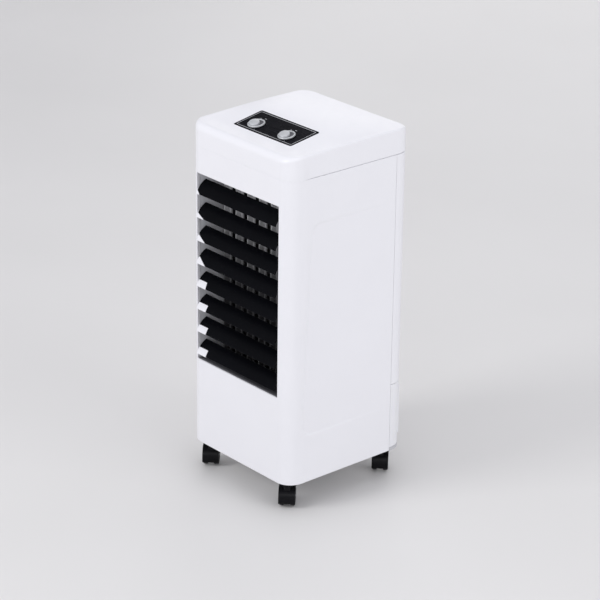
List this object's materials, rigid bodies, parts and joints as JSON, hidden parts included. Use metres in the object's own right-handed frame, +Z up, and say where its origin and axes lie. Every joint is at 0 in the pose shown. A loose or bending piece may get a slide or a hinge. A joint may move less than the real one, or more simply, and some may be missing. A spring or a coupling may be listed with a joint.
{
  "type": "evaporative cooler",
  "caption": "Tower evaporative cooler on casters: tilting outlet louvres, swing vanes, blower, wet pad, slide-out water tank and two top knobs.",
  "frame": {"origin": "on the floor, under the middle of the cabinet", "axes": "+Z up, the outlet louvres face -Y, +X to the right seen from the front"},
  "size_m": [0.265, 0.268, 0.6475],
  "materials": {
    "white_shell": "satin",
    "cap_white": "satin",
    "pan_grey": "matte",
    "duct_grey": "matte",
    "louvre_black": "satin",
    "vane_grey": "satin",
    "link_black": "matte",
    "housing_dark": "matte",
    "wheel_grey": "matte",
    "panel_black": "gloss",
    "print_silver": "satin",
    "knob_silver": "satin",
    "switch_grey": "matte",
    "steel": "brushed",
    "motor_metal": "satin",
    "bronze": "satin",
    "box_ivory": "matte",
    "gland_black": "matte",
    "tank_white": "satin",
    "window_clear": "clear",
    "plug_rubber": "matte",
    "pump_black": "matte",
    "hose_clear": "satin",
    "pad_paper": "matte",
    "caster_black": "satin",
    "caster_tread": "matte"
  },
  "bodies": {
    "cabinet": {"front_shell": "white_shell", "rear_shell": "white_shell", "top_cap": "cap_white", "base_pan": "pan_grey", "inner_deck": "pan_grey", "outlet_duct": "duct_grey", "blower_housing": "housing_dark", "lower_bearing": "bronze", "fan_motor": "motor_metal", "motor_bracket": "steel", "terminal_box": "box_ivory", "cord_gland": "gland_black", "case_screws": "steel", "control_plate": "panel_black", "panel_print": "print_silver", "rotary_switches": "switch_grey", "swing_motor": "motor_metal", "water_pump": "pump_black", "pump_hose": "hose_clear", "water_distributor": "pan_grey", "caster_sockets": "steel"},
    "blower": {"blower_wheel": "wheel_grey", "blower_shaft": "steel"},
    "speed_knob": {"speed_knob": "knob_silver"},
    "mode_knob": {"mode_knob": "knob_silver"},
    "louvre_1": {"louvre_blade_1": "louvre_black"},
    "louvre_2": {"louvre_blade_2": "louvre_black"},
    "louvre_3": {"louvre_blade_3": "louvre_black"},
    "louvre_4": {"louvre_blade_4": "louvre_black"},
    "louvre_5": {"louvre_blade_5": "louvre_black"},
    "louvre_6": {"louvre_blade_6": "louvre_black"},
    "louvre_7": {"louvre_blade_7": "louvre_black"},
    "louvre_8": {"louvre_blade_8": "louvre_black"},
    "louvre_link": {"louvre_link": "louvre_black"},
    "vane_1": {"swing_vane_1": "vane_grey"},
    "vane_2": {"swing_vane_2": "vane_grey"},
    "vane_3": {"swing_vane_3": "vane_grey"},
    "vane_4": {"swing_vane_4": "vane_grey"},
    "vane_5": {"swing_vane_5": "vane_grey"},
    "vane_6": {"swing_vane_6": "vane_grey"},
    "vane_link": {"vane_link": "link_black"},
    "swing_crank": {"swing_crank": "box_ivory"},
    "tank": {"water_tank": "tank_white", "level_window": "window_clear", "drain_plug": "plug_rubber"},
    "pad_cassette": {"cooling_pad": "pad_paper", "pad_frame": "pan_grey", "rear_grille": "white_shell"},
    "caster_fl": {"caster_hood_fl": "caster_black", "caster_axle_fl": "steel"},
    "wheels_fl": {"caster_wheels_fl": "caster_tread"},
    "caster_fr": {"caster_hood_fr": "caster_black", "caster_axle_fr": "steel"},
    "wheels_fr": {"caster_wheels_fr": "caster_tread"},
    "caster_rl": {"caster_hood_rl": "caster_black", "caster_axle_rl": "steel"},
    "wheels_rl": {"caster_wheels_rl": "caster_tread"},
    "caster_rr": {"caster_hood_rr": "caster_black", "caster_axle_rr": "steel"},
    "wheels_rr": {"caster_wheels_rr": "caster_tread"}
  },
  "joints": [
    {"name": "blower_spin", "type": "hinge", "parent": "cabinet", "child": "blower", "pos_m": [0.008, 0, 0.38], "axis": [0, 0, 1], "continuous": true},
    {"name": "speed_knob_turn", "type": "hinge", "parent": "cabinet", "child": "speed_knob", "pos_m": [-0.0385, -0.06185, 0.63726], "axis": [0, -0.1736, 0.9848], "range_deg": [-270, 0]},
    {"name": "mode_knob_turn", "type": "hinge", "parent": "cabinet", "child": "mode_knob", "pos_m": [0.0385, -0.06185, 0.63726], "axis": [0, -0.1736, 0.9848], "range_deg": [-180, 0]},
    {"name": "louvre_1_tilt", "type": "hinge", "parent": "cabinet", "child": "louvre_1", "pos_m": [0, -0.122, 0.5226], "axis": [1, 0, 0], "range_deg": [-40, 35]},
    {"name": "louvre_2_tilt", "type": "hinge", "parent": "cabinet", "child": "louvre_2", "pos_m": [0, -0.122, 0.4808], "axis": [1, 0, 0], "range_deg": [-40, 35]},
    {"name": "louvre_3_tilt", "type": "hinge", "parent": "cabinet", "child": "louvre_3", "pos_m": [0, -0.122, 0.439], "axis": [1, 0, 0], "range_deg": [-40, 35]},
    {"name": "louvre_4_tilt", "type": "hinge", "parent": "cabinet", "child": "louvre_4", "pos_m": [0, -0.122, 0.3972], "axis": [1, 0, 0], "range_deg": [-40, 35]},
    {"name": "louvre_5_tilt", "type": "hinge", "parent": "cabinet", "child": "louvre_5", "pos_m": [0, -0.122, 0.3554], "axis": [1, 0, 0], "range_deg": [-40, 35]},
    {"name": "louvre_6_tilt", "type": "hinge", "parent": "cabinet", "child": "louvre_6", "pos_m": [0, -0.122, 0.3136], "axis": [1, 0, 0], "range_deg": [-40, 35]},
    {"name": "louvre_7_tilt", "type": "hinge", "parent": "cabinet", "child": "louvre_7", "pos_m": [0, -0.122, 0.2718], "axis": [1, 0, 0], "range_deg": [-40, 35]},
    {"name": "louvre_8_tilt", "type": "hinge", "parent": "cabinet", "child": "louvre_8", "pos_m": [0, -0.122, 0.23], "axis": [1, 0, 0], "range_deg": [-40, 35]},
    {"name": "louvre_link_slide", "type": "slide", "parent": "cabinet", "child": "louvre_link", "axis": [0, 0, 1], "range_m": [-0.0055, 0.005]},
    {"name": "vane_1_swing", "type": "hinge", "parent": "cabinet", "child": "vane_1", "pos_m": [-0.07625, -0.086, 0.38], "axis": [0, 0, 1], "range_deg": [-30, 30]},
    {"name": "vane_2_swing", "type": "hinge", "parent": "cabinet", "child": "vane_2", "pos_m": [-0.04575, -0.086, 0.38], "axis": [0, 0, 1], "range_deg": [-30, 30]},
    {"name": "vane_3_swing", "type": "hinge", "parent": "cabinet", "child": "vane_3", "pos_m": [-0.01525, -0.086, 0.38], "axis": [0, 0, 1], "range_deg": [-30, 30]},
    {"name": "vane_4_swing", "type": "hinge", "parent": "cabinet", "child": "vane_4", "pos_m": [0.01525, -0.086, 0.38], "axis": [0, 0, 1], "range_deg": [-30, 30]},
    {"name": "vane_5_swing", "type": "hinge", "parent": "cabinet", "child": "vane_5", "pos_m": [0.04575, -0.086, 0.38], "axis": [0, 0, 1], "range_deg": [-30, 30]},
    {"name": "vane_6_swing", "type": "hinge", "parent": "cabinet", "child": "vane_6", "pos_m": [0.07625, -0.086, 0.38], "axis": [0, 0, 1], "range_deg": [-30, 30]},
    {"name": "vane_link_slide", "type": "slide", "parent": "cabinet", "child": "vane_link", "axis": [1, 0, 0], "range_m": [-0.0055, 0.0055]},
    {"name": "swing_crank_turn", "type": "hinge", "parent": "cabinet", "child": "swing_crank", "pos_m": [0.06, -0.096, 0.563], "axis": [0, 0, 1], "continuous": true},
    {"name": "tank_slide", "type": "slide", "parent": "cabinet", "child": "tank", "axis": [0, 1, 0], "range_m": [0, 0.165]},
    {"name": "pad_cassette_slide", "type": "slide", "parent": "cabinet", "child": "pad_cassette", "axis": [0, 1, 0], "range_m": [0, 0.08]},
    {"name": "caster_fl_swivel", "type": "hinge", "parent": "cabinet", "child": "caster_fl", "pos_m": [-0.103, -0.108, 0.05], "axis": [0, 0, 1], "continuous": true},
    {"name": "caster_fl_roll", "type": "hinge", "parent": "caster_fl", "child": "wheels_fl", "pos_m": [-0.10795, -0.10305, 0.0175], "axis": [0.7071, 0.7071, 0], "continuous": true},
    {"name": "caster_fr_swivel", "type": "hinge", "parent": "cabinet", "child": "caster_fr", "pos_m": [0.103, -0.108, 0.05], "axis": [0, 0, 1], "continuous": true},
    {"name": "caster_fr_roll", "type": "hinge", "parent": "caster_fr", "child": "wheels_fr", "pos_m": [0.09805, -0.10305, 0.0175], "axis": [0.7071, 0.7071, 0], "continuous": true},
    {"name": "caster_rl_swivel", "type": "hinge", "parent": "cabinet", "child": "caster_rl", "pos_m": [-0.103, 0.106, 0.05], "axis": [0, 0, 1], "continuous": true},
    {"name": "caster_rl_roll", "type": "hinge", "parent": "caster_rl", "child": "wheels_rl", "pos_m": [-0.10795, 0.11095, 0.0175], "axis": [0.7071, 0.7071, 0], "continuous": true},
    {"name": "caster_rr_swivel", "type": "hinge", "parent": "cabinet", "child": "caster_rr", "pos_m": [0.103, 0.106, 0.05], "axis": [0, 0, 1], "continuous": true},
    {"name": "caster_rr_roll", "type": "hinge", "parent": "caster_rr", "child": "wheels_rr", "pos_m": [0.09805, 0.11095, 0.0175], "axis": [0.7071, 0.7071, 0], "continuous": true}
  ],
  "couplings": [
    {"joint": "louvre_2_tilt", "follows": "louvre_1_tilt", "ratio": 1},
    {"joint": "louvre_3_tilt", "follows": "louvre_1_tilt", "ratio": 1},
    {"joint": "louvre_4_tilt", "follows": "louvre_1_tilt", "ratio": 1},
    {"joint": "louvre_5_tilt", "follows": "louvre_1_tilt", "ratio": 1},
    {"joint": "louvre_6_tilt", "follows": "louvre_1_tilt", "ratio": 1},
    {"joint": "louvre_7_tilt", "follows": "louvre_1_tilt", "ratio": 1},
    {"joint": "louvre_8_tilt", "follows": "louvre_1_tilt", "ratio": 1},
    {"joint": "louvre_link_slide", "follows": "louvre_1_tilt", "m_per_rad": 0.00745},
    {"joint": "vane_2_swing", "follows": "vane_1_swing", "ratio": 1},
    {"joint": "vane_3_swing", "follows": "vane_1_swing", "ratio": 1},
    {"joint": "vane_4_swing", "follows": "vane_1_swing", "ratio": 1},
    {"joint": "vane_5_swing", "follows": "vane_1_swing", "ratio": 1},
    {"joint": "vane_6_swing", "follows": "vane_1_swing", "ratio": 1},
    {"joint": "vane_link_slide", "follows": "vane_1_swing", "m_per_rad": 0.0097}
  ]
}
